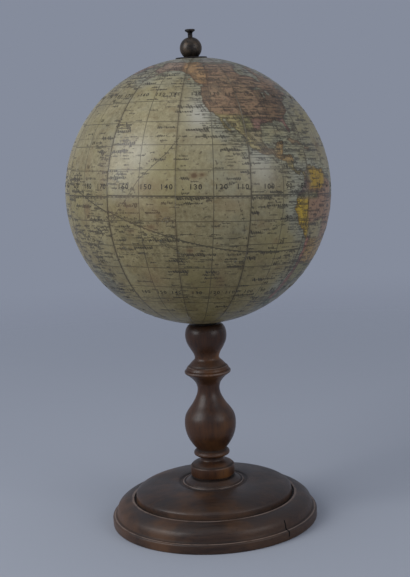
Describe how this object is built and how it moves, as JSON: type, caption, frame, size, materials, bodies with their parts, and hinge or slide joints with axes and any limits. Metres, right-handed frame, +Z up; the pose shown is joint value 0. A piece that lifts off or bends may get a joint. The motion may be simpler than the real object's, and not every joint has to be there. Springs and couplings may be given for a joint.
{
  "type": "terrestrial globe",
  "caption": "Small terrestrial table globe of papered plaster turning on an iron pin, with a dark turned wooden stand and a ball finial.",
  "frame": {"origin": "centre of the base's underside, on the table", "axes": "+Z up along the pin on which the globe turns; -Y is the side seen in the picture, +X is to its right"},
  "size_m": [0.16, 0.16, 0.3021],
  "materials": {
    "dark_wood": "satin, old stain and wax with worn edges",
    "map_paper": "engraved and hand-coloured paper under yellowed varnish",
    "dark_iron": "blackened",
    "finial_bronze": "dark patina, satin",
    "bush_brass": "dull",
    "iron": "plain",
    "pale_wood": "bare",
    "papier_mache": "pulped rag paper",
    "plaster": "smooth gypsum ground",
    "linen": "woven strip in glue",
    "baize": "woollen, worn"
  },
  "bodies": {
    "stand": {"base": "dark_wood", "base_baize": "baize", "base_screw": "iron", "base_screw_washer": "iron", "stem": "dark_wood", "pin_ferrule": "bush_brass", "lower_washer": "dark_iron", "axis_pin": "dark_iron", "top_washer": "dark_iron"},
    "globe": {"south_bush": "bush_brass", "north_bush": "bush_brass", "south_block": "pale_wood", "north_block": "pale_wood", "spindle": "pale_wood", "south_shell": "papier_mache", "north_shell": "papier_mache", "south_tacks": "iron", "north_tacks": "iron", "joint_tape": "linen", "plaster_ground": "plaster", "gore_01": "map_paper", "gore_02": "map_paper", "gore_03": "map_paper", "gore_04": "map_paper", "gore_05": "map_paper", "gore_06": "map_paper", "gore_07": "map_paper", "gore_08": "map_paper", "gore_09": "map_paper", "gore_10": "map_paper", "gore_11": "map_paper", "gore_12": "map_paper", "south_calotte": "map_paper", "north_calotte": "map_paper"},
    "finial": {"finial_ball": "finial_bronze"}
  },
  "joints": [
    {"name": "globe_spin", "type": "hinge", "parent": "stand", "child": "globe", "pos_m": [0, 0, 0.2053], "axis": [0, 0, 1], "continuous": true},
    {"name": "finial_spin", "type": "hinge", "parent": "stand", "child": "finial", "pos_m": [0, 0, 0.2909], "axis": [0, 0, 1], "continuous": true}
  ]
}
